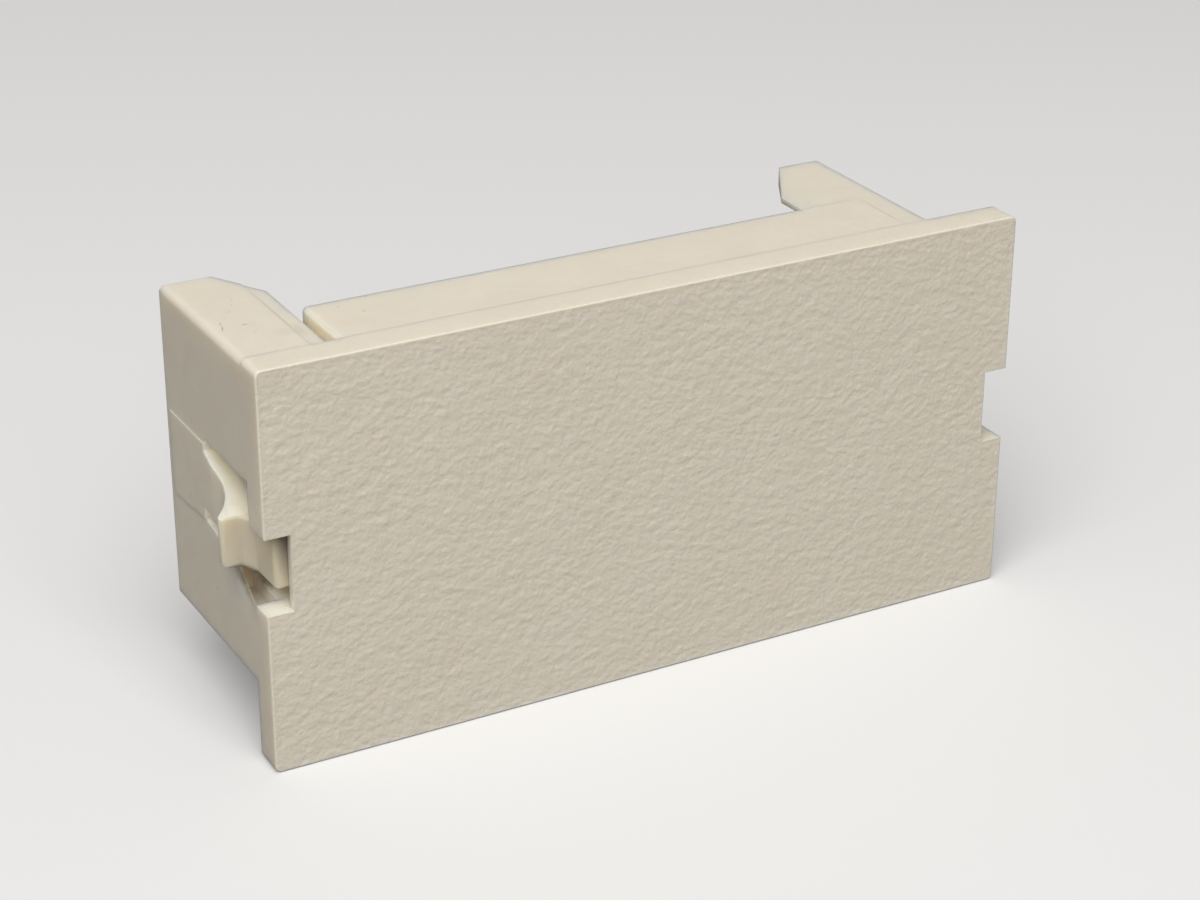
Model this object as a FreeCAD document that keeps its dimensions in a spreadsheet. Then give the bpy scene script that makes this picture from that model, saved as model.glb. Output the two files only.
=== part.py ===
import FreeCAD, Part
import math
import os
import Sketcher

# A blank filler module for a snap-in rack panel: one moulded plastic piece with a square-edged
# front plate, two arms and a shallow tray behind it, and a spring tongue in the left arm.
# The origin lies on the back of the plate, in the middle of the lip below the arms.
# +X is right as seen from the front, -Y is towards the viewer and +Z is up.

dims = {
    # front plate
    "plate_width": "38.1",
    "plate_height": "19.05",
    "plate_thick": "1.6",
    "plate_corner": "0.3",
    "plate_edge": "0.07",
    # plate left standing past the arms, below and on the right
    "lip_height": "3.88",
    "flange_width": "3.95",
    # arms
    "arm_width": "3.88",
    "arm_depth": "9.45",
    "arm_chamfer_width": "1.72",
    "arm_chamfer_depth": "2.93",
    "arm_drop": "0.04",
    "arm_edge": "0.35",
    "arm_back_edge": "0.1",
    # the right arm is a rail that is open towards the tray
    "rail_width": "4.35",
    "rail_chamfer_depth": "3.72",
    "rail_wall": "1.15",
    "rail_root": "1.2",
    "rail_lip": "0.25",
    # lower strip along the inside of the left arm's top
    "strip_width": "0.68",
    "strip_drop": "0.09",
    # tray between the arms
    "tray_gap": "0.6",
    "tray_depth": "3.94",
    "tray_wall": "1.5",
    "tray_drop": "0.03",
    "tray_corner": "0.25",
    "tray_gap_depth": "1.35",
    # notches in the plate's two ends
    "notch_depth": "1.22",
    "notch_height": "3.65",
    "notch_skin": "0.45",
    # side slot that frees the tongue, heights from the foot of the plate
    "slot_lead": "0.28",
    "slot_rear": "4.88",
    "slot_rear_low": "5.19",
    "slot_inner": "2.65",
    "slot_top": "13.4",
    "slot_ledge": "9.38",
    "slot_knee": "1.1",
    "slot_knee_height": "8.7",
    "slot_foot": "7.7",
    # hollow of the arm below the tongue, behind an outer wall with a thin lip, beside an eased step
    "hollow_lip": "0.02",
    "hollow_lip_depth": "0.8",
    "hollow_wall": "0.26",
    "hollow_inner": "1.1",
    "hollow_length": "2.8",
    "hollow_floor": "6.9",
    "step_run": "0.3",
    "step_rise": "0.12",
    # raised band that runs back from the slot
    "band_proud": "0.05",
    "band_end": "0.5",
    "band_low": "9.1",
    "band_low_front": "9.4",
    "band_high": "13.18",
    # spring tongue, depths from the back of the plate, widths from the arm's outer face
    "tongue_root": "5.5",
    "tongue_root_low": "10.0",
    "tongue_root_high": "13.1",
    "tongue_tip": "0.95",
    "tongue_tip_low": "8.46",
    "tongue_tip_high": "11.0",
    "tongue_bend": "1.8",
    "tongue_knee_low": "8.93",
    "tongue_knee_high": "11.3",
    "tongue_thick": "1.05",
    "tongue_thick_tip": "1.35",
    "tongue_dip": "4.2",
    "hook_foot_in": "0.14",
    "hook_foot": "2.42",
    "hook_foot_round": "2.0",
    "hook_reach": "1.16",
    "hook_round": "0.19",
    "hook_out": "0.9",
    "hook_toe": "8.8",
    "hook_toe_round": "0.62",
    "catch_depth": "1.15",
    "catch_round": "0.3",
    "neck_in": "0.5",
    "neck_depth": "0.49",
    "neck_round": "0.3",
    "lever_in": "0.7",
    "lever_round": "0.25",
    "tongue_back_step": "1.6",
    "tongue_back_knee": "0.5",
    "tongue_edge_high": "0.1",
    "tongue_edge_low": "0.22",
}

doc = FreeCAD.newDocument("rack_blank_module")
sheet = doc.addObject("Spreadsheet::Sheet", "dims")
for row, (alias, number) in enumerate(dims.items(), start=1):
    sheet.set("A%d" % row, alias)
    sheet.set("B%d" % row, number)
    sheet.setAlias("B%d" % row, alias)
doc.recompute()


def amount(term):
    """The length that a sum of named dimensions comes to."""
    total = 0.0
    sign = 1.0
    for word in term.split():
        if word == "+":
            sign = 1.0
        elif word == "-":
            sign = -1.0
        else:
            total += sign * (float(dims[word]) if word in dims else float(word))
    return total


def bound(term):
    """The same sum, written so that it follows the sheet."""
    return " ".join("dims." + word if word in dims else word for word in term.split())


LEFT = "0 - dims.plate_width / 2"
FOOT = "0 - dims.lip_height / 2"


def new_body(name):
    return doc.addObject("PartDesign::Body", name)


def hold(sketch, constraint, term):
    """Adds a sized constraint to a sketch and ties its size to the sheet."""
    index = sketch.addConstraint(constraint)
    sketch.setExpression("Constraints[%d]" % index, bound(term))


def outline(body, name, plane, shift, points):
    """A closed polygon on one of the body's origin planes, its corners bound to the sheet."""
    sketch = body.newObject("Sketcher::SketchObject", name)
    support = [f for f in body.Origin.OriginFeatures if f.Role == plane][0]
    sketch.AttachmentSupport = [(support, "")]
    sketch.MapMode = "FlatFace"
    for axis, expression in shift.items():
        sketch.setExpression("AttachmentOffset.Base." + axis, expression)
    corners = [FreeCAD.Vector(amount(x), amount(y), 0) for x, y in points]
    count = len(corners)
    for n in range(count):
        sketch.addGeometry(Part.LineSegment(corners[n], corners[(n + 1) % count]), False)
    for n in range(count):
        sketch.addConstraint(Sketcher.Constraint("Coincident", n, 2, (n + 1) % count, 1))
    for n, (x, y) in enumerate(points):
        hold(sketch, Sketcher.Constraint("DistanceX", n, 1, corners[n].x), x)
        hold(sketch, Sketcher.Constraint("DistanceY", n, 1, corners[n].y), y)
    return sketch


def pad(body, sketch, name, term, reversed_way=False):
    feature = body.newObject("PartDesign::Pad", name)
    feature.Profile = sketch
    feature.setExpression("Length", bound(term))
    feature.Reversed = reversed_way
    doc.recompute()
    return feature


def pocket(body, sketch, name, term, reversed_way=False):
    before = body.Shape.Volume
    feature = body.newObject("PartDesign::Pocket", name)
    feature.Profile = sketch
    feature.setExpression("Length", bound(term))
    feature.Reversed = reversed_way
    doc.recompute()
    if body.Shape.Volume > before - 1e-6:
        raise RuntimeError(name + " cuts nothing")
    return feature


def edges_where(shape, test):
    """Names of the edges whose middle and direction there pass a test."""
    found = []
    for n, edge in enumerate(shape.Edges, start=1):
        if edge.Degenerated:
            continue
        half = (edge.FirstParameter + edge.LastParameter) / 2
        if test(edge.valueAt(half), edge.tangentAt(half)):
            found.append("Edge%d" % n)
    return found


def fillet(body, name, alias, test):
    base = body.Tip
    names = edges_where(base.Shape, test)
    if not names:
        raise RuntimeError(name + " has no edges")
    feature = body.newObject("PartDesign::Fillet", name)
    feature.Base = (base, names)
    feature.setExpression("Radius", bound(alias))
    doc.recompute()
    return feature


def near(a, b, gap=0.02):
    return abs(a - b) < gap


# Places that the outlines share, in the document's frame.
left_end = -amount("plate_width") / 2
right_end = amount("plate_width") / 2
foot = -amount("lip_height") / 2
top = foot + amount("plate_height")
arm_top = top - amount("arm_drop")
front = -amount("plate_thick")

# The moulding without its tongue.
shell = new_body("shell")

plate_outline = outline(
    shell, "plate_outline", "XZ_Plane", {"x": LEFT, "y": FOOT},
    [("0", "0"), ("plate_width", "0"), ("plate_width", "plate_height"), ("0", "plate_height")],
)
pad(shell, plate_outline, "plate", "plate_thick")
if shell.Shape.BoundBox.YMax > 0.01:
    raise RuntimeError("the plate has to lie in front of the origin")

ARM_FOOT = FOOT + " + dims.lip_height"
ARM_HEIGHT = "plate_height - lip_height - arm_drop"

left_arm_outline = outline(
    shell, "left_arm_outline", "XY_Plane", {"x": LEFT, "z": ARM_FOOT},
    [
        ("0", "0"),
        ("arm_width", "0"),
        ("arm_width", "arm_depth - arm_chamfer_depth"),
        ("arm_width - arm_chamfer_width", "arm_depth"),
        ("0", "arm_depth"),
    ],
)
pad(shell, left_arm_outline, "left_arm", ARM_HEIGHT)

right_arm_outline = outline(
    shell, "right_arm_outline", "XY_Plane", {"x": LEFT, "z": ARM_FOOT},
    [
        ("plate_width - flange_width", "0"),
        ("plate_width - flange_width", "arm_depth"),
        ("plate_width - flange_width - arm_width + arm_chamfer_width", "arm_depth"),
        ("plate_width - flange_width - rail_width", "arm_depth - rail_chamfer_depth"),
        ("plate_width - flange_width - rail_width", "0"),
    ],
)
pad(shell, right_arm_outline, "right_arm", ARM_HEIGHT)

# Only its outer wall is full height: above and below, it runs out to a thin lip.
rail_outline = outline(
    shell, "rail_outline", "XZ_Plane", {"x": LEFT, "y": FOOT},
    [
        ("plate_width - flange_width - rail_width", "lip_height + rail_lip"),
        ("plate_width - flange_width - rail_wall", "lip_height + rail_root"),
        ("plate_width - flange_width - rail_wall", "plate_height - arm_drop - rail_root"),
        ("plate_width - flange_width - rail_width", "plate_height - arm_drop - rail_lip"),
    ],
)
pocket(shell, rail_outline, "rail_hollow", "arm_depth")

# The tray is open behind, and its right end is closed by the right arm's wall. A web ties its left
# wall to the left arm below a shallow gap.
tray_outline = outline(
    shell, "tray_outline", "XZ_Plane", {"x": LEFT, "y": FOOT},
    [
        ("arm_width - tray_gap", "lip_height"),
        ("plate_width - flange_width - rail_wall", "lip_height"),
        ("plate_width - flange_width - rail_wall", "lip_height + tray_wall"),
        ("arm_width + tray_gap + tray_wall", "lip_height + tray_wall"),
        ("arm_width + tray_gap + tray_wall", "plate_height - tray_drop - tray_wall"),
        ("plate_width - flange_width - rail_wall", "plate_height - tray_drop - tray_wall"),
        ("plate_width - flange_width - rail_wall", "plate_height - tray_drop"),
        ("arm_width + tray_gap", "plate_height - tray_drop"),
        ("arm_width + tray_gap", "plate_height - tray_drop - tray_gap_depth"),
        ("arm_width - tray_gap", "plate_height - tray_drop - tray_gap_depth"),
    ],
)
pad(shell, tray_outline, "tray", "tray_depth", True)

tray_left = left_end + amount("arm_width + tray_gap")
fillet(
    shell, "tray_corner_round", "tray_corner",
    lambda at, run: near(abs(run.y), 1) and near(at.x, tray_left) and at.y > 0.1
    and at.z > top - amount("tray_gap_depth") / 2,
)

# The outer edges of both arms are eased behind, and the left one's is rounder along its top.
arm_left_out = left_end
arm_right_out = right_end - amount("flange_width")
arm_back = amount("arm_depth")
fillet(
    shell, "arm_back_edges", "arm_back_edge",
    lambda at, run: near(abs(run.z), 1) and near(at.y, arm_back) and (
        near(at.x, arm_left_out) or near(at.x, arm_right_out)
    ),
)
fillet(
    shell, "arm_top_edge", "arm_edge",
    lambda at, run: near(abs(run.y), 1) and near(at.z, arm_top) and at.y > 1
    and near(at.x, arm_left_out),
)
fillet(
    shell, "plate_corners", "plate_corner",
    lambda at, run: near(abs(run.y), 1) and near(abs(at.x), right_end) and at.y < 0 and (
        near(at.z, foot) or near(at.z, top)
    ),
)
fillet(
    shell, "front_edges", "plate_edge",
    lambda at, run: near(at.y, front) and near(run.y, 0),
)

# A mould step: a strip along the inside of the left arm's top lies a little lower.
PLATE_TOP = FOOT + " + dims.plate_height"
left_strip_outline = outline(
    shell, "left_strip_outline", "XY_Plane", {"x": LEFT, "z": PLATE_TOP},
    [
        ("arm_width - strip_width", "0"),
        ("arm_width", "0"),
        ("arm_width", "arm_depth"),
        ("arm_width - strip_width", "arm_depth"),
    ],
)
pocket(shell, left_strip_outline, "left_strip", "strip_drop")

# The side slot: a flat ledge behind a knee, and from there a slope down to the notch's floor.
slot_outline = outline(
    shell, "slot_outline", "YZ_Plane", {"y": FOOT, "z": LEFT},
    [
        ("0 - slot_lead", "slot_foot"),
        ("slot_knee", "slot_knee_height"),
        ("slot_rear_low", "slot_ledge"),
        ("slot_rear", "slot_top"),
        ("0", "slot_top"),
        ("0", "slot_foot + notch_height"),
        ("0 - slot_lead", "slot_foot + notch_height"),
    ],
)
pocket(shell, slot_outline, "slot", "slot_inner", True)

# Behind the arm's outer wall the slot opens into a hollow with a step beside it.
HOLLOW_WALL = LEFT + " + dims.hollow_wall"
step_outline = outline(
    shell, "step_outline", "YZ_Plane", {"y": FOOT, "z": HOLLOW_WALL},
    [
        ("0 - slot_lead", "slot_foot"),
        ("hollow_length", "slot_foot"),
        ("hollow_length", "slot_top"),
        ("0", "slot_top"),
        ("0", "slot_foot + notch_height"),
        ("0 - slot_lead", "slot_foot + notch_height"),
    ],
)
pocket(shell, step_outline, "step", "slot_inner - hollow_wall", True)

hollow_outline = outline(
    shell, "hollow_outline", "XZ_Plane", {"x": LEFT, "y": FOOT, "z": "dims.slot_lead"},
    [
        ("hollow_wall", "hollow_floor"),
        ("hollow_inner", "hollow_floor"),
        ("hollow_inner", "slot_foot - step_rise"),
        ("hollow_inner + step_run", "slot_foot"),
        ("hollow_inner + step_run", "slot_foot + notch_height"),
        ("hollow_wall", "slot_foot + notch_height"),
    ],
)
pocket(shell, hollow_outline, "hollow", "hollow_length + slot_lead")

# Along the slope the outer wall is bevelled inside, which leaves a thin lip.
lip_outline = outline(
    shell, "lip_outline", "XZ_Plane", {"x": LEFT, "y": FOOT, "z": "dims.slot_lead"},
    [
        ("hollow_lip", "slot_foot"),
        ("hollow_wall", "slot_foot - hollow_lip_depth"),
        ("hollow_wall + hollow_lip", "slot_foot - hollow_lip_depth"),
        ("hollow_wall + hollow_lip", "slot_foot + hollow_lip_depth"),
        ("hollow_lip", "slot_foot + hollow_lip_depth"),
    ],
)
lip_bevel = pocket(shell, lip_outline, "lip_bevel", "hollow_length + slot_lead")
lip_bevel.UseCustomVector = True
lip_bevel.setExpression("Direction.x", "0")
lip_bevel.setExpression("Direction.y", "dims.slot_knee + dims.slot_lead")
lip_bevel.setExpression("Direction.z", "dims.slot_knee_height - dims.slot_foot")
doc.recompute()

# The notch on the left opens into the slot behind a thin skin. The one on the right goes straight through.
NOTCH_TOP = FOOT + " + dims.plate_height / 2 + dims.notch_height / 2"
left_notch_outline = outline(
    shell, "left_notch_outline", "XY_Plane", {"x": LEFT, "z": NOTCH_TOP},
    [
        ("0", "0 - plate_thick"),
        ("notch_depth", "0 - plate_thick"),
        ("notch_depth", "notch_skin - plate_thick"),
        ("slot_inner", "notch_skin - plate_thick"),
        ("slot_inner", "0 - slot_lead"),
        ("0", "0 - slot_lead"),
    ],
)
pocket(shell, left_notch_outline, "left_notch", "notch_height")

right_notch_outline = outline(
    shell, "right_notch_outline", "XY_Plane", {"x": LEFT, "z": NOTCH_TOP},
    [
        ("plate_width - notch_depth", "0 - plate_thick"),
        ("plate_width", "0 - plate_thick"),
        ("plate_width", "0"),
        ("plate_width - notch_depth", "0"),
    ],
)
pocket(shell, right_notch_outline, "right_notch", "notch_height")

# The raised band runs back from the slot along the left arm.
band_outline = outline(
    shell, "band_outline", "YZ_Plane", {"y": FOOT, "z": LEFT},
    [
        ("slot_rear_low", "band_low_front"),
        ("arm_depth - band_end", "band_low"),
        ("arm_depth - band_end", "band_high"),
        ("slot_rear", "band_high"),
    ],
)
pad(shell, band_outline, "band", "band_proud", True)
if shell.Shape.BoundBox.XMin > left_end - 0.5 * amount("band_proud"):
    raise RuntimeError("the band has to stand out of the arm")

# The tongue: its plan, then what lies above and below its side view is cut away.
tongue = new_body("tongue")
plan_outline = outline(
    tongue, "plan_outline", "XY_Plane", {"x": LEFT, "z": FOOT + " + dims.slot_foot"},
    [
        ("0 - band_proud", "tongue_root"),
        ("0 - band_proud", "tongue_dip"),
        ("hook_foot_in", "hook_foot"),
        ("0 - hook_reach", "catch_depth"),
        ("0", "catch_depth"),
        ("neck_in", "neck_depth"),
        ("lever_in", "0 - tongue_tip"),
        ("tongue_thick_tip", "0 - tongue_tip"),
        ("tongue_thick_tip", "tongue_back_knee"),
        ("tongue_thick", "tongue_back_step"),
        ("tongue_thick", "tongue_root"),
    ],
)
pad(tongue, plan_outline, "plan_pad", "slot_top - slot_foot")


def upright_at(x_term, y_term):
    x = left_end + amount(x_term)
    y = amount(y_term)
    return lambda at, run: near(abs(run.z), 1) and near(at.x, x) and near(at.y, y)


fillet(tongue, "hook_foot_fillet", "hook_foot_round", upright_at("hook_foot_in", "hook_foot"))
fillet(tongue, "hook_fillet", "hook_round", upright_at("0 - hook_reach", "catch_depth"))
fillet(tongue, "catch_fillet", "catch_round", upright_at("0", "catch_depth"))
fillet(tongue, "neck_fillet", "neck_round", upright_at("neck_in", "neck_depth"))
fillet(tongue, "lever_fillet", "lever_round", upright_at("lever_in", "0 - tongue_tip"))

BESIDE = LEFT + " - 2 * dims.hook_reach"
ACROSS = "hook_reach + hook_reach + slot_inner + slot_inner"
over_outline = outline(
    tongue, "over_outline", "YZ_Plane", {"y": FOOT, "z": BESIDE},
    [
        ("0 - tongue_tip - 1", "tongue_tip_high"),
        ("0 - tongue_tip", "tongue_tip_high"),
        ("catch_depth", "tongue_knee_high"),
        ("tongue_root", "tongue_root_high"),
        ("tongue_root + 1", "tongue_root_high"),
        ("tongue_root + 1", "slot_top + 1"),
        ("0 - tongue_tip - 1", "slot_top + 1"),
    ],
)
pocket(tongue, over_outline, "over_tongue", ACROSS, True)
under_outline = outline(
    tongue, "under_outline", "YZ_Plane", {"y": FOOT, "z": BESIDE},
    [
        ("0 - tongue_tip - 1", "tongue_tip_low"),
        ("0 - tongue_tip - 1", "slot_foot - 1"),
        ("tongue_root + 1", "slot_foot - 1"),
        ("tongue_root + 1", "tongue_root_low"),
        ("tongue_root", "tongue_root_low"),
        ("tongue_bend", "tongue_knee_low"),
        ("0 - tongue_tip", "tongue_tip_low"),
    ],
)
pocket(tongue, under_outline, "under_tongue", ACROSS, True)


def side_height(y, low_alias, low_y, high_alias, high_y):
    """Height of a sloping run of the tongue's side view at depth y."""
    low = foot + amount(low_alias)
    rise = foot + amount(high_alias) - low
    return low + rise * (y - low_y) / (high_y - low_y)


tip_y = -amount("tongue_tip")
root_y = amount("tongue_root")
catch_y = amount("catch_depth")
bend_y = amount("tongue_bend")
outer_side = left_end + amount("lever_in") + 0.1


def low_height(y):
    if y < bend_y:
        return side_height(y, "tongue_tip_low", tip_y, "tongue_knee_low", bend_y)
    return side_height(y, "tongue_knee_low", bend_y, "tongue_root_low", root_y)


fillet(
    tongue, "tongue_low_edges", "tongue_edge_low",
    lambda at, run: at.x < outer_side and at.y < root_y - 0.01 and near(at.z, low_height(at.y)),
)
fillet(
    tongue, "tongue_high_edges", "tongue_edge_high",
    lambda at, run: at.x < outer_side and at.y < root_y - 0.01
    and at.y > catch_y - amount("tongue_edge_high") / 2
    and near(at.z, side_height(at.y, "tongue_knee_high", catch_y, "tongue_root_high", root_y)),
)

# The outer lower corner of the hook is rounded off as seen from the front.
toe_outline = tongue.newObject("Sketcher::SketchObject", "toe_outline")
toe_plane = [f for f in tongue.Origin.OriginFeatures if f.Role == "XZ_Plane"][0]
toe_outline.AttachmentSupport = [(toe_plane, "")]
toe_outline.MapMode = "FlatFace"
toe_outline.setExpression("AttachmentOffset.Base.x", LEFT)
toe_outline.setExpression("AttachmentOffset.Base.y", FOOT)
toe_round = amount("hook_toe_round")
toe_middle = FreeCAD.Vector(amount("hook_toe_round - hook_out"), amount("hook_toe + hook_toe_round"), 0)
toe_corner = toe_middle - FreeCAD.Vector(2 * toe_round, 2 * toe_round, 0)
toe_points = [
    FreeCAD.Vector(toe_middle.x - toe_round, toe_middle.y, 0),
    FreeCAD.Vector(toe_corner.x, toe_middle.y, 0),
    toe_corner,
    FreeCAD.Vector(toe_middle.x, toe_corner.y, 0),
    FreeCAD.Vector(toe_middle.x, toe_middle.y - toe_round, 0),
]
for begin, end in zip(toe_points, toe_points[1:]):
    toe_outline.addGeometry(Part.LineSegment(begin, end), False)
toe_circle = Part.Circle(toe_middle, FreeCAD.Vector(0, 0, 1), toe_round)
toe_outline.addGeometry(Part.ArcOfCircle(toe_circle, math.pi, 1.5 * math.pi), False)
for n in range(3):
    toe_outline.addConstraint(Sketcher.Constraint("Coincident", n, 2, n + 1, 1))
toe_outline.addConstraint(Sketcher.Constraint("Coincident", 3, 2, 4, 2))
toe_outline.addConstraint(Sketcher.Constraint("Coincident", 4, 1, 0, 1))
hold(toe_outline, Sketcher.Constraint("DistanceX", 4, 3, toe_middle.x), "hook_toe_round - hook_out")
hold(toe_outline, Sketcher.Constraint("DistanceY", 4, 3, toe_middle.y), "hook_toe + hook_toe_round")
hold(toe_outline, Sketcher.Constraint("DistanceX", 2, 1, toe_corner.x), "0 - hook_toe_round - hook_out")
hold(toe_outline, Sketcher.Constraint("DistanceY", 2, 1, toe_corner.y), "hook_toe - hook_toe_round")
hold(toe_outline, Sketcher.Constraint("Radius", 4, toe_round), "hook_toe_round")
for line, way in ((0, "Horizontal"), (1, "Vertical"), (2, "Horizontal"), (3, "Vertical")):
    toe_outline.addConstraint(Sketcher.Constraint(way, line))
pocket(tongue, toe_outline, "hook_toe_cut", "hook_foot")

module = doc.addObject("Part::MultiFuse", "blank_module")
module.Shapes = [shell, tongue]
module.Refine = True
module.Label = "blank_module"
doc.recompute()

for item in doc.Objects:
    if "Invalid" in item.State or "Error" in item.State:
        raise RuntimeError(item.Name + " did not build")
for item in (shell, tongue, module):
    if item.Shape.isNull() or not item.Shape.isValid():
        raise RuntimeError(item.Name + " has no valid shape")
if len(module.Shape.Solids) != 1:
    raise RuntimeError("the module has to be one solid")

os.makedirs("parts", exist_ok=True)
module.Shape.exportStep("parts/%s.step" % module.Label)
print("volume mm3", round(module.Shape.Volume, 1))
print("box", module.Shape.BoundBox)
print("centre of mass", module.Shape.CenterOfGravity)
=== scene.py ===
# %% [markdown]
# # A rack blank module in cream plastic
# The real object is one injection moulding: a face plate, two arms and a shelf behind it, and a
# springy latch tongue at the left end. The solid shape comes from the imported frame. This lesson
# dresses it: the grain of the front, the small marks of moulding and use, the painted shade and
# light in its colour, the plastic, the light.

# %% Load the frame
import math

import bmesh
import bpy
from mathutils import Matrix, Vector


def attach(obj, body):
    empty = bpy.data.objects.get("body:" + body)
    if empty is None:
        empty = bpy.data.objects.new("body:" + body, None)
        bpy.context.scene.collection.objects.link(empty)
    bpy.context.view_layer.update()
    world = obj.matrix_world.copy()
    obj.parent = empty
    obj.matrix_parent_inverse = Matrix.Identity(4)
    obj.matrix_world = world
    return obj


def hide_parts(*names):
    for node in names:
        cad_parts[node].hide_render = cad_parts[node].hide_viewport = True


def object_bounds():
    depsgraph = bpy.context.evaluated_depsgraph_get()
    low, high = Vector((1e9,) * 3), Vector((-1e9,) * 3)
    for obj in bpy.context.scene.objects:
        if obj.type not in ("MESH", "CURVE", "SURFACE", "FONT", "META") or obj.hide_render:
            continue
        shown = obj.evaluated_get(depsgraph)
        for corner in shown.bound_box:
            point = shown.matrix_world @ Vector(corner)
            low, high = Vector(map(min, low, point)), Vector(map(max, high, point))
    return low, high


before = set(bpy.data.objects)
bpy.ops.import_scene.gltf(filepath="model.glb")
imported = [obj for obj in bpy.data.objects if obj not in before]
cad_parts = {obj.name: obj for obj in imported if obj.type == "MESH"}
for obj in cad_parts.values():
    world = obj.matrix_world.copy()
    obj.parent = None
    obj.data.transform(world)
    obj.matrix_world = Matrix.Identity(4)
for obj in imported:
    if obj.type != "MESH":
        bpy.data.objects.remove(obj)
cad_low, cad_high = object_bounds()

MM = 0.001
bpy.context.scene.view_settings.view_transform = "Standard"
print("solid box in mm:", [round(v / MM, 2) for v in (*cad_low, *cad_high)])

# %% [markdown]
# ## The camera
# The viewing place was worked out from the straight edges of the plate: their vanishing points give
# the focal length and the turn, and the plate's size gives the distance. A camera could be aimed by
# a Track To constraint, but its three axes are known, so they go straight into its matrix.

# %% Camera
CAMERA_PLACE = Vector((-56.512, -98.693, 62.356)) * MM
CAMERA_RIGHT = Vector((0.876651, -0.481116, 0.003027))
CAMERA_UP = Vector((0.202985, 0.375553, 0.904299))
CAMERA_BACK = Vector((-0.436210, -0.792141, 0.426888))
FOCAL_PIXELS = 2777.3
IMAGE_WIDTH = 1200
SENSOR_WIDTH = 36.0
NEAREST = 0.005
FARTHEST = 10.0

bpy.ops.object.select_all(action="DESELECT")
bpy.ops.object.camera_add()
camera = bpy.context.object
camera.name = "viewpoint"
turn = Matrix((CAMERA_RIGHT, CAMERA_UP, CAMERA_BACK)).transposed()
camera.matrix_world = Matrix.Translation(CAMERA_PLACE) @ turn.to_4x4()
camera.data.sensor_fit = "HORIZONTAL"
camera.data.sensor_width = SENSOR_WIDTH
camera.data.lens = FOCAL_PIXELS / IMAGE_WIDTH * SENSOR_WIDTH
camera.data.clip_start = NEAREST
camera.data.clip_end = FARTHEST
bpy.context.scene.camera = camera
print("lens in mm:", round(camera.data.lens, 2))

# %% [markdown]
# ## A working copy of the moulding
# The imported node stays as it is, and a copy of it is dressed. Its mesh is loose triangles. They could
# be cut as they are, but slivers cut badly. So doubles are merged first, and flat neighbours are
# dissolved into single faces.

# %% Merge a copy
DOUBLE_GAP = 0.0005 * MM
FLAT_ANGLE = math.radians(0.2)

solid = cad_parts["blank_module"]
blank = bpy.data.objects.new("cream_blank", solid.data.copy())
bpy.context.scene.collection.objects.link(blank)
blank.data.name = "cream_blank"
blank.data.materials.clear()


def work_on(piece):
    """Makes a piece the only selected and active object."""
    bpy.ops.object.select_all(action="DESELECT")
    piece.select_set(True)
    bpy.context.view_layer.objects.active = piece


work_on(blank)
bpy.ops.object.mode_set(mode="EDIT")
bpy.ops.mesh.select_all(action="SELECT")
bpy.ops.mesh.customdata_custom_splitnormals_clear()
bpy.ops.mesh.remove_doubles(threshold=DOUBLE_GAP)
bpy.ops.mesh.dissolve_limited(angle_limit=FLAT_ANGLE)
bpy.ops.object.mode_set(mode="OBJECT")
print("faces after merging:", len(blank.data.polygons))

# %% [markdown]
# ## The front face as a fine grid
# The face of the plate has a soft pebble grain from its mould. A bump would only shade it, so the
# grain is real relief, and the face needs many small faces first. It is bisected into cells about a
# millimetre wide, with lines through the corners of the notches, so that every cell has four sides.
# One subdivision then gives all the cells an even grid.

# %% Places of the cuts
EDGE_ROUND = 0.07 * MM
NOTCH_DEPTH = 1.22 * MM
NOTCH_FOOT = 5.76 * MM
NOTCH_HEIGHT = 3.65 * MM
PLATE_HALF = 19.05 * MM
PLATE_TOP = cad_high.z
PLATE_FOOT = cad_low.z
FRONT = cad_low.y
CELL = 0.95 * MM
RIM = 0.06 * MM

flat_x = (-PLATE_HALF + EDGE_ROUND, PLATE_HALF - EDGE_ROUND)
flat_z = (PLATE_FOOT + EDGE_ROUND, PLATE_TOP - EDGE_ROUND)
notch_x = PLATE_HALF - NOTCH_DEPTH
notch_z = (NOTCH_FOOT, NOTCH_FOOT + NOTCH_HEIGHT)


def lines_between(stops):
    """Cut lines about a cell apart that pass through every stop."""
    lines = [stops[0]]
    for low, high in zip(stops, stops[1:]):
        count = max(1, round((high - low) / CELL))
        lines += [low + (high - low) * step / count for step in range(1, count + 1)]
    return lines


cuts_x = lines_between([flat_x[0] + RIM, -notch_x, notch_x, flat_x[1] - RIM])
cuts_z = lines_between([flat_z[0] + RIM, *notch_z, flat_z[1] - RIM])
print("cells:", len(cuts_x) - 1, "by", len(cuts_z) - 1)

# %% Cut the front into cells
FLAT_FORWARD = -0.9999
FRONT_SLACK = 0.01 * MM
TOUCH = 1e-7
GRID_CUTS = 9

work_on(blank)
bpy.ops.object.mode_set(mode="EDIT")
bpy.ops.mesh.select_mode(type="FACE")
bpy.ops.mesh.select_all(action="DESELECT")
mesh = bmesh.from_edit_mesh(blank.data)
for face in mesh.faces:
    near_front = face.calc_center_median().y < FRONT + FRONT_SLACK
    face.select_set(face.normal.y < FLAT_FORWARD and near_front)
bmesh.update_edit_mesh(blank.data)
bpy.ops.mesh.hide(unselected=True)
for place in cuts_x:
    bpy.ops.mesh.select_all(action="SELECT")
    bpy.ops.mesh.bisect(plane_co=(place, 0, 0), plane_no=(1, 0, 0), threshold=TOUCH)
for place in cuts_z:
    bpy.ops.mesh.select_all(action="SELECT")
    bpy.ops.mesh.bisect(plane_co=(0, 0, place), plane_no=(0, 0, 1), threshold=TOUCH)
bpy.ops.mesh.select_all(action="SELECT")
bpy.ops.mesh.subdivide(number_cuts=GRID_CUTS)
bpy.ops.mesh.reveal(select=False)
bpy.ops.object.mode_set(mode="OBJECT")
print("faces now:", len(blank.data.polygons))

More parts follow.
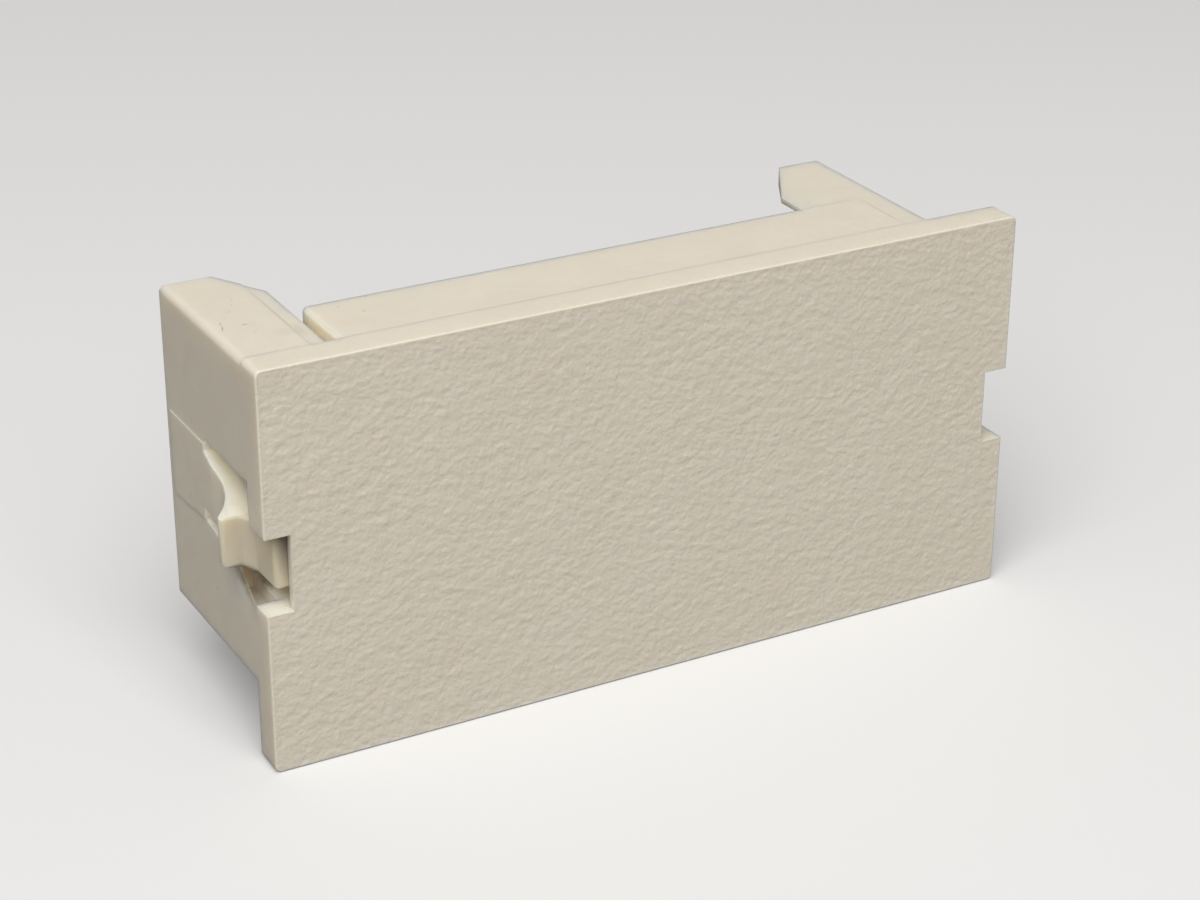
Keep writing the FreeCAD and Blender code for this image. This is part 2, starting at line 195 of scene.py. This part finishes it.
# %% [markdown]
# ## The grain
# The mould gives the face a soft pebble grain, strongest in the open and dying away at the rounded
# rim. A bump alone would shade it and leave the mesh flat. Here a vertex group holds the fade, and
# two Displace modifiers with cloud textures press larger and smaller pebbles through it. The
# pebbles are longer than high, so an empty stretches the textures along the plate. Whatever would
# stand out of the plate is flattened at its front, so it never grows past its solid.

# %% Fade of the grain
FADE = 0.14 * MM


def rim_distance(x, z):
    """How far a point of the front lies from the edge of the flat face."""
    gap = min(x - flat_x[0], flat_x[1] - x, z - flat_z[0], flat_z[1] - z)
    beside = max(notch_x - abs(x), 0)
    along = max(notch_z[0] - z, z - notch_z[1], 0)
    return max(0.0, min(gap, math.hypot(beside, along)))


grain_group = blank.vertex_groups.new(name="grain")
for vertex in blank.data.vertices:
    if abs(vertex.co.y - FRONT) < TOUCH:
        share = min(1.0, rim_distance(vertex.co.x, vertex.co.z) / FADE)
        if share > 0:
            grain_group.add([vertex.index], share * share * (3 - 2 * share), "REPLACE")
print("fade in mm:", round(FADE / MM, 2))

# %% Press the grain into the face
# name: size of the pebbles, depth of the press
GRAINS = {"broad_pebbles": (0.36 * MM, 0.05 * MM), "fine_pebbles": (0.17 * MM, 0.055 * MM)}
STRETCH = (1.45, 1.0, 1.0)
LEVEL = 0.36
GRAIN_REACH = 0.3 * MM

bpy.ops.object.select_all(action="DESELECT")
bpy.ops.object.empty_add()
stretcher = bpy.context.object
stretcher.scale = STRETCH
work_on(blank)
for name, (size, depth) in GRAINS.items():
    clouds = bpy.data.textures.new(name, "CLOUDS")
    clouds.noise_scale = size
    clouds.noise_depth = 1
    clouds.noise_basis = "ORIGINAL_PERLIN"
    press = blank.modifiers.new(name, "DISPLACE")
    press.texture = clouds
    press.texture_coords = "OBJECT"
    press.texture_coords_object = stretcher
    press.direction = "Y"
    press.mid_level = LEVEL
    press.strength = depth
    press.vertex_group = "grain"
    bpy.ops.object.modifier_apply(modifier=press.name)
blank.vertex_groups.clear()
bpy.data.objects.remove(stretcher)
for vertex in blank.data.vertices:
    vertex.co.y = max(vertex.co.y, FRONT)
deepest = max(v.co.y for v in blank.data.vertices if v.co.y < FRONT + GRAIN_REACH)
print("deepest grain in mm:", round((deepest - FRONT) / MM, 3))

# %% [markdown]
# ## Smooth shading
# Rounded edges run into large flat faces. Plain smooth shading would bend the light all over those
# faces, so a Weighted Normal modifier lets the big face decide at each edge.

# %% Shade
SHARP_ANGLE = math.radians(38)
BIG_FACE_WEIGHT = 60

work_on(blank)
bpy.ops.object.shade_smooth_by_angle(angle=SHARP_ANGLE)
even = blank.modifiers.new("even_normals", "WEIGHTED_NORMAL")
even.keep_sharp = True
even.weight = BIG_FACE_WEIGHT
bpy.ops.object.modifier_apply(modifier=even.name)
print("triangles:", sum(len(p.vertices) - 2 for p in blank.data.polygons))

# %% [markdown]
# ## Colour and skin of the plastic, as a group
# One plastic shows four skins: the grained face, the satin arms and shelf, the polished walls of
# the latch's slot and the shelf's end, paler by painted light, and the glossy sides of the tongue,
# deeper and yellower by painted shade.
# They share a faint mottle of the colour, an uneven gloss and a fine skin. That could be copied into
# each material, but a node group is built once and takes each skin's own values.

# %% Helpers for nodes
MIX_SHARE, MIX_FIRST, MIX_SECOND, MIX_RESULT = 0, 6, 7, 2
RANGE_ENDS = ("From Min", "From Max", "To Min", "To Max")


def new_group(name, takes, gives):
    """A shader node group with its sockets, and its two end nodes."""
    group = bpy.data.node_groups.new(name, "ShaderNodeTree")
    for label, kind in takes.items():
        group.interface.new_socket(label, in_out="INPUT", socket_type="NodeSocket" + kind)
    for label, kind in gives.items():
        group.interface.new_socket(label, in_out="OUTPUT", socket_type="NodeSocket" + kind)
    return group, group.nodes.new("NodeGroupInput"), group.nodes.new("NodeGroupOutput")


def noise_node(tree, place, scale, detail):
    """Noise at a place, with so many pebbles to the metre."""
    noise = tree.nodes.new("ShaderNodeTexNoise")
    noise.inputs["Detail"].default_value = detail
    tree.links.new(place, noise.inputs["Vector"])
    if isinstance(scale, float):
        noise.inputs["Scale"].default_value = scale
    else:
        tree.links.new(scale, noise.inputs["Scale"])
    return noise.outputs["Fac"]


def blend_node(tree, share, first, second):
    """A colour between two others."""
    blend = tree.nodes.new("ShaderNodeMix")
    blend.data_type = "RGBA"
    for source, socket in ((share, MIX_SHARE), (first, MIX_FIRST), (second, MIX_SECOND)):
        if isinstance(source, tuple):
            blend.inputs[socket].default_value = source
        else:
            tree.links.new(source, blend.inputs[socket])
    return blend.outputs[MIX_RESULT]


def range_node(tree, value, given, wanted):
    """Takes a value from one range to another."""
    span = tree.nodes.new("ShaderNodeMapRange")
    tree.links.new(value, span.inputs["Value"])
    for label, number in zip(RANGE_ENDS, (*given, *wanted)):
        if isinstance(number, float):
            span.inputs[label].default_value = number
        else:
            tree.links.new(number, span.inputs[label])
    return span.outputs["Result"]


print("sockets of a colour mix:", MIX_SHARE, MIX_FIRST, MIX_SECOND, MIX_RESULT)

# %% Skin group
MOTTLE_SCALE, MOTTLE_DETAIL = 230.0, 3.0
PATCH_SCALE, FINE_DETAIL = 900.0, 2.0
NOISE_MIDDLE = (0.35, 0.65)

skin, skin_in, skin_out = new_group(
    "cream_skin",
    {"Place": "Vector", "Light": "Color", "Deep": "Color", "Fine Scale": "Float",
     "Gloss Low": "Float", "Gloss High": "Float"},
    {"Color": "Color", "Roughness": "Float", "Height": "Float"})
cloudy = noise_node(skin, skin_in.outputs["Place"], MOTTLE_SCALE, MOTTLE_DETAIL)
mottle = range_node(skin, cloudy, NOISE_MIDDLE, (0.0, 1.0))
tint = blend_node(skin, mottle, skin_in.outputs["Light"], skin_in.outputs["Deep"])
skin.links.new(tint, skin_out.inputs["Color"])
patchy = noise_node(skin, skin_in.outputs["Place"], PATCH_SCALE, FINE_DETAIL)
gloss_range = (skin_in.outputs["Gloss Low"], skin_in.outputs["Gloss High"])
gloss = range_node(skin, patchy, NOISE_MIDDLE, gloss_range)
skin.links.new(gloss, skin_out.inputs["Roughness"])
fine = noise_node(skin, skin_in.outputs["Place"], skin_in.outputs["Fine Scale"], FINE_DETAIL)
skin.links.new(fine, skin_out.inputs["Height"])
print("skin group nodes:", len(skin.nodes))

# %% [markdown]
# ## Small marks, and painted shade
# A used moulding has a few dark specks and hairline scratches. The same dark colour also paints shade:
# thin dark lines along the small steps between the tops of the plate, the arms and the shelf, soft
# dark patches over a shallow sink on the left arm, and soft dark patches round the latch, under the
# hook and the tongue's neck and at the top of the lever's face. They could be painted into a
# texture. Instead each mark or patch is a small ellipsoid in space: a Mapping node turns it into a
# unit ball, and the distance from its middle gives the mask.

# %% Places of the marks and the painted shade
ARM_TOP = 17.07
SHELF_TOP = 17.08
SIDE = -19.05
FACE = -1.6
MARKS_AND_SHADE = (
    # in mm: x, y, z, half length, half width, half height; then turn about Z, strength
    # specks, dots and hairline scratches on the left arm, the shelf and the outer side
    (-17.46, 3.35, ARM_TOP, 0.17, 0.05, 0.2, -15, 0.75),
    (-16.92, 6.19, ARM_TOP, 0.06, 0.06, 0.2, 0, 0.5),
    (-17.12, 5.68, ARM_TOP, 0.06, 0.05, 0.2, 0, 0.4),
    (-17.56, 4.97, ARM_TOP, 0.14, 0.05, 0.2, 0, 0.35),
    (-18.36, 3.86, ARM_TOP, 0.05, 0.2, 0.2, -8, 0.45),
    (-18.46, 3.36, ARM_TOP, 0.05, 0.36, 0.2, -18, 0.55),
    (-17.11, 3.17, ARM_TOP, 0.12, 0.05, 0.2, 10, 0.25),
    (-17.37, 2.37, ARM_TOP, 0.07, 0.05, 0.2, 0, 0.25),
    (-13.17, 3.24, SHELF_TOP, 0.07, 0.07, 0.2, 0, 0.35),
    (-12.43, 2.33, SHELF_TOP, 0.1, 0.08, 0.2, 0, 0.4),
    (-11.72, 3.75, SHELF_TOP, 0.12, 0.05, 0.2, 0, 0.4),
    (SIDE, 6.3, 9.01, 0.2, 0.07, 0.08, 0, 0.35),
    (SIDE, 6.88, 7.88, 0.2, 0.05, 0.2, 0, 0.45),
    (SIDE, 4.32, 4.41, 0.2, 0.06, 0.06, 0, 0.55),
    (SIDE, 6.27, 11.78, 0.2, 0.035, 0.26, 0, 0.3),
    # painted shade: thin dark lines along the small steps between the tops of the plate, arms and shelf
    (0.0, 0.05, ARM_TOP, 60.0, 0.07, 0.2, 0, 0.22),
    (13.9, 1.9, ARM_TOP, 0.045, 2.2, 0.2, 0, 0.3),
    (12.25, 3.96, ARM_TOP, 1.9, 0.05, 0.2, 0, 0.35),
    (-15.82, 3.6, ARM_TOP, 0.06, 3.9, 0.2, 0, 0.35),
    # painted shade: soft dark patches over a shallow sink on the left arm's top and its inner strip
    (-15.6, 1.85, ARM_TOP, 0.3, 1.0, 0.3, 0, 0.16),
    (-16.28, 1.78, ARM_TOP, 0.6, 0.6, 0.3, 0, 0.07),
    # a faint darker spot near the top of the face
    (3.64, FACE, 16.45, 0.35, 0.3, 0.12, 0, 0.12),
    # painted shade: soft dark patches on the outer side under the hook, under the tongue's neck, and at
    # the top of the lever's face, in the shade of the notch
    (SIDE, 0.9, 6.55, 0.9, 0.95, 0.7, 0, 0.92),
    (SIDE, 0.45, 6.3, 0.7, 0.85, 0.75, 0, 0.68),
    (SIDE, 0.05, 6.0, 0.5, 0.65, 0.6, 0, 0.42),
    (-18.0, 1.6, 6.0, 0.9, 1.0, 0.8, 0, 0.9),
    (-17.85, -0.95, 9.5, 0.6, 0.5, 2.6, 0, 0.85),
)
print("marks:", len(MARKS_AND_SHADE))

# %% Group of the marks and the painted shade
SOFT_EDGE = (0.3, 1.0)


def mark_and_shade_mask(tree, place, entry):
    """A soft-edged mask for a speck or a patch of painted shade: its strength inside, nothing outside.
    """
    x, y, z, long, wide, high, turn, strength = entry
    ball = tree.nodes.new("ShaderNodeMapping")
    ball.vector_type = "TEXTURE"
    ball.inputs["Location"].default_value = Vector((x, y, z)) * MM
    ball.inputs["Rotation"].default_value = (0, 0, math.radians(turn))
    ball.inputs["Scale"].default_value = Vector((long, wide, high)) * MM
    tree.links.new(place, ball.inputs["Vector"])
    middle = tree.nodes.new("ShaderNodeVectorMath")
    middle.operation = "LENGTH"
    tree.links.new(ball.outputs["Vector"], middle.inputs[0])
    return range_node(tree, middle.outputs["Value"], SOFT_EDGE, (strength, 0.0))


marks_shade_group, marks_shade_in, marks_shade_out = new_group("marks_and_painted_shade", {"Place": "Vector"}, {"Mask": "Float"})
mask = None
for entry in MARKS_AND_SHADE:
    spot = mark_and_shade_mask(marks_shade_group, marks_shade_in.outputs["Place"], entry)
    if mask is not None:
        both = marks_shade_group.nodes.new("ShaderNodeMath")
        both.operation = "MAXIMUM"
        marks_shade_group.links.new(mask, both.inputs[0])
        marks_shade_group.links.new(spot, both.inputs[1])
        spot = both.outputs["Value"]
    mask = spot
marks_shade_group.links.new(mask, marks_shade_out.inputs["Mask"])
print("marks group nodes:", len(marks_shade_group.nodes))

# %% [markdown]
# ## Four skins of one plastic
# Cream plastic is a little translucent: light enters it and comes out near by, which warms thin walls
# and sharp corners. A plain diffuse colour could stand for it, but would look like paint. The
# Principled shader's subsurface values do it, set on its own sockets. The face is duller, because its
# grain scatters, and the latch is glossier, because its mould is polished. The slot's walls and the
# shelf's end are given a paler colour, which is painted light for the light that comes through them,
# and the tongue's sides a deeper, yellower one, which is painted shade.

# %% A skin's material
# dark colour of the specks and scratches, and of the painted shade
SPECK_AND_SHADE_COLOUR = (0.20, 0.17, 0.13, 1.0)
PLASTIC_IOR = 1.5
SCATTER = (1.0, 0.85, 0.6)


def new_material(name):
    """A material with a Principled shader on its output, and its node tree."""
    made = bpy.data.materials.new(name)
    made.use_nodes = True
    return made, made.node_tree


def group_node(tree, group, values):
    """Places a group in a material and sets its values."""
    node = tree.nodes.new("ShaderNodeGroup")
    node.node_tree = group
    for label, value in values.items():
        node.inputs[label].default_value = value
    return node


def cream_material(name, tints, fine_scale, fine_height, gloss, depth, weight):
    """One skin of the plastic: its tints, fine bump, range of roughness and translucence."""
    made, tree = new_material(name)
    shader = tree.nodes["Principled BSDF"]
    shader.inputs["IOR"].default_value = PLASTIC_IOR
    shader.inputs["Subsurface Weight"].default_value = weight
    shader.inputs["Subsurface Radius"].default_value = SCATTER
    shader.inputs["Subsurface Scale"].default_value = depth
    place = tree.nodes.new("ShaderNodeTexCoord").outputs["Object"]
    look = group_node(tree, skin, {"Light": tints[0], "Deep": tints[1], "Fine Scale": fine_scale,
                                   "Gloss Low": gloss[0], "Gloss High": gloss[1]})
    marked_and_shaded = group_node(tree, marks_shade_group, {})
    tree.links.new(place, look.inputs["Place"])
    tree.links.new(place, marked_and_shaded.inputs["Place"])
    # the specks and scratches, and the painted shade, darken the colour here
    tint = blend_node(tree, marked_and_shaded.outputs["Mask"], look.outputs["Color"], SPECK_AND_SHADE_COLOUR)
    tree.links.new(tint, shader.inputs["Base Color"])
    tree.links.new(look.outputs["Roughness"], shader.inputs["Roughness"])
    bump = tree.nodes.new("ShaderNodeBump")
    bump.inputs["Distance"].default_value = fine_height
    tree.links.new(look.outputs["Height"], bump.inputs["Height"])
    tree.links.new(bump.outputs["Normal"], shader.inputs["Normal"])
    return made


print("index of refraction:", PLASTIC_IOR)

# %% Cream plastic
BODY_TINTS = ((0.775, 0.712, 0.597, 1.0), (0.765, 0.698, 0.58, 1.0))
# the pale tints are painted light, the tongue's deeper, yellower tints painted shade
PAINTED_LIGHT_TINTS = ((0.91, 0.84, 0.69, 1.0), (0.90, 0.82, 0.66, 1.0))
TONGUE_PAINTED_SHADE_TINTS = ((0.68, 0.612, 0.478, 1.0), (0.635, 0.562, 0.412, 1.0))
SKINS = {
    # name: tints, fine scale, fine height, range of roughness, depth of scatter, its weight
    "satin_cream": (BODY_TINTS, 2600.0, 0.006 * MM, (0.38, 0.5), 1.2 * MM, 0.8),
    "grained_cream": (BODY_TINTS, 5200.0, 0.03 * MM, (0.42, 0.58), 0.6 * MM, 0.35),
    # painted light: a paler colour on the polished walls of the slot and on the shelf's end
    "polished_cream_painted_light": (PAINTED_LIGHT_TINTS, 1500.0, 0.004 * MM, (0.2, 0.3), 1.4 * MM, 0.9),
    # painted shade: a deeper, yellower colour on the glossy sides of the tongue that face left and
    # forward
    "glossy_tongue_painted_shade": (TONGUE_PAINTED_SHADE_TINTS, 1500.0, 0.004 * MM, (0.16, 0.26), 1.2 * MM, 0.85),
}
for name, values in SKINS.items():
    blank.data.materials.append(cream_material(name, *values))
print("skins:", blank.data.materials.keys())

# %% [markdown]
# ## Which faces wear which skin
# The satin skin covers everything at first. The other faces could be picked by hand, but their numbers
# change with every cut. So the faces of the grained front, of the latch's slot and the shelf's end,
# which take the pale colour of painted light, and of the tongue's outer side, which takes the deeper
# colour of painted shade, are selected by place and normal, and given theirs.

# %% Tests for the skins
LATCH_LOW = Vector((-20.0, -1.45, 3.4)) * MM
LATCH_HIGH = Vector((-15.5, 5.3, 11.6)) * MM
TONGUE_LOW = Vector((-20.0, -1.0, 6.45)) * MM
TONGUE_HIGH = Vector((-17.9, 2.6, 9.39)) * MM
HOLLOW_LOW = Vector((-19.1, -0.3, 4.8)) * MM
HOLLOW_HIGH = Vector((-18.1, 3.0, 7.0)) * MM
SHELF_END_LOW = Vector((-14.7, 0.1, 15.5)) * MM
SHELF_END_HIGH = Vector((-14.45, 4.0, 17.0)) * MM
GRAIN_ROOM = 0.2 * MM
SIDE_SLACK = 0.08 * MM
FORWARD = -0.5
FLAT_LEFT = -0.99
LEFTWARD = -0.3
LEFT_OR_FORWARD = -0.2


def within(face, low, high):
    """True for a face whose middle lies in a box."""
    return all(a < value < b for a, value, b in zip(low, face.calc_center_median(), high))


def on_front(face):
    """True for the pressed face of the plate."""
    return face.normal.y < FORWARD and face.calc_center_median().y < FRONT + GRAIN_ROOM


def on_outer_side(face):
    """True for the flat outer side of the left arm."""
    away = abs(face.calc_center_median().x - SIDE * MM)
    return face.normal.x < FLAT_LEFT and away < SIDE_SLACK


def on_painted_light(face):
    """True for the latch and the walls of its slot above the thin lip, and for the shelf's end: painted
    light.
    """
    outside = on_outer_side(face) or on_front(face) or within(face, HOLLOW_LOW, HOLLOW_HIGH)
    latch = within(face, LATCH_LOW, LATCH_HIGH) and not outside
    return latch or (face.normal.x < LEFTWARD and within(face, SHELF_END_LOW, SHELF_END_HIGH))


def on_tongue_painted_shade(face):
    """True for the sides of the hook and the lever that face left or forward, which get painted shade.
    """
    outward = min(face.normal.x, face.normal.y) < LEFT_OR_FORWARD
    return outward and within(face, TONGUE_LOW, TONGUE_HIGH)


WEARERS = {"grained_cream": on_front, "polished_cream_painted_light": on_painted_light, "glossy_tongue_painted_shade": on_tongue_painted_shade}
print("skins with a test:", list(WEARERS))


# %% Give out the skins
def give_skin(name, wanted):
    """Assigns one skin to the faces that a test picks, and says how many."""
    slot = blank.data.materials.find(name)
    work_on(blank)
    blank.active_material_index = slot
    bpy.ops.object.mode_set(mode="EDIT")
    bpy.ops.mesh.select_mode(type="FACE")
    bpy.ops.mesh.select_all(action="DESELECT")
    mesh = bmesh.from_edit_mesh(blank.data)
    for face in mesh.faces:
        face.select_set(wanted(face))
    bmesh.update_edit_mesh(blank.data)
    bpy.ops.object.material_slot_assign()
    bpy.ops.object.mode_set(mode="OBJECT")
    return sum(polygon.material_index == slot for polygon in blank.data.polygons)


for name, wanted in WEARERS.items():
    print(name, "faces:", give_skin(name, wanted))

# %% [markdown]
# ## Floor
# The module stands on the lower edge of its plate, on a plain pale sheet. A sheet that is as pale to
# the object as to the camera would wash out the shade of the sides. So a Light Path node shows the
# camera a pale floor, and keeps the light that it throws on the object low.

# %% Floor
FLOOR_SIZE = 4.0
FLOOR_GAP = 0.01 * MM
FLOOR_SEEN = (0.80, 0.80, 0.80, 1.0)
FLOOR_UNSEEN = (0.10, 0.10, 0.10, 1.0)
FLOOR_ROUGHNESS = 0.9

bpy.ops.object.select_all(action="DESELECT")
bpy.ops.mesh.primitive_plane_add(size=FLOOR_SIZE, location=(0, 0, PLATE_FOOT - FLOOR_GAP))
floor = bpy.context.object
floor.name = "floor"
pale, tree = new_material("pale_floor")
rays = tree.nodes.new("ShaderNodeLightPath").outputs["Is Camera Ray"]
paper = blend_node(tree, rays, FLOOR_UNSEEN, FLOOR_SEEN)
tree.links.new(paper, tree.nodes["Principled BSDF"].inputs["Base Color"])
tree.nodes["Principled BSDF"].inputs["Roughness"].default_value = FLOOR_ROUGHNESS
floor.data.materials.append(pale)
print("floor at mm:", round(floor.location.z / MM, 2))

# %% [markdown]
# ## Light
# One broad soft lamp hangs above, in front and a little to the left, so the top is brightest, the
# face a little less and the left side about half. Several small lamps could do it, but each would
# draw a shadow of its own. An even sky over the floor fills the hollows.

# %% Lamp and room
LAMP_AIM = Vector((0, 2, 8)) * MM
LAMP_FROM = Vector((-0.30, -0.50, 0.70)).normalized()
LAMP_FAR = 0.6
LAMP_WIDE = 0.7
LAMP_WATTS = 4.6
ROOM_COLOUR = (1.0, 0.965, 0.91, 1.0)
ROOM_STRENGTH = 0.26

bpy.ops.object.select_all(action="DESELECT")
bpy.ops.object.light_add(type="AREA")
lamp = bpy.context.object
lamp.name = "soft_lamp"
lamp.data.shape = "DISK"
lamp.data.size = LAMP_WIDE
lamp.data.energy = LAMP_WATTS
lamp.location = LAMP_AIM + LAMP_FROM * LAMP_FAR
lamp.rotation_euler = LAMP_FROM.to_track_quat("Z", "Y").to_euler()

room = bpy.data.worlds.new("room")
bpy.context.scene.world = room
room.use_nodes = True
room_light = room.node_tree.nodes["Background"]
room_light.inputs["Color"].default_value = ROOM_COLOUR
room_light.inputs["Strength"].default_value = ROOM_STRENGTH
print("lamp watts:", round(lamp.data.energy, 2))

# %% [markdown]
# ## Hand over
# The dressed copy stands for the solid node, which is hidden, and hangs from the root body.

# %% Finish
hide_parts("blank_module")
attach(blank, "root")
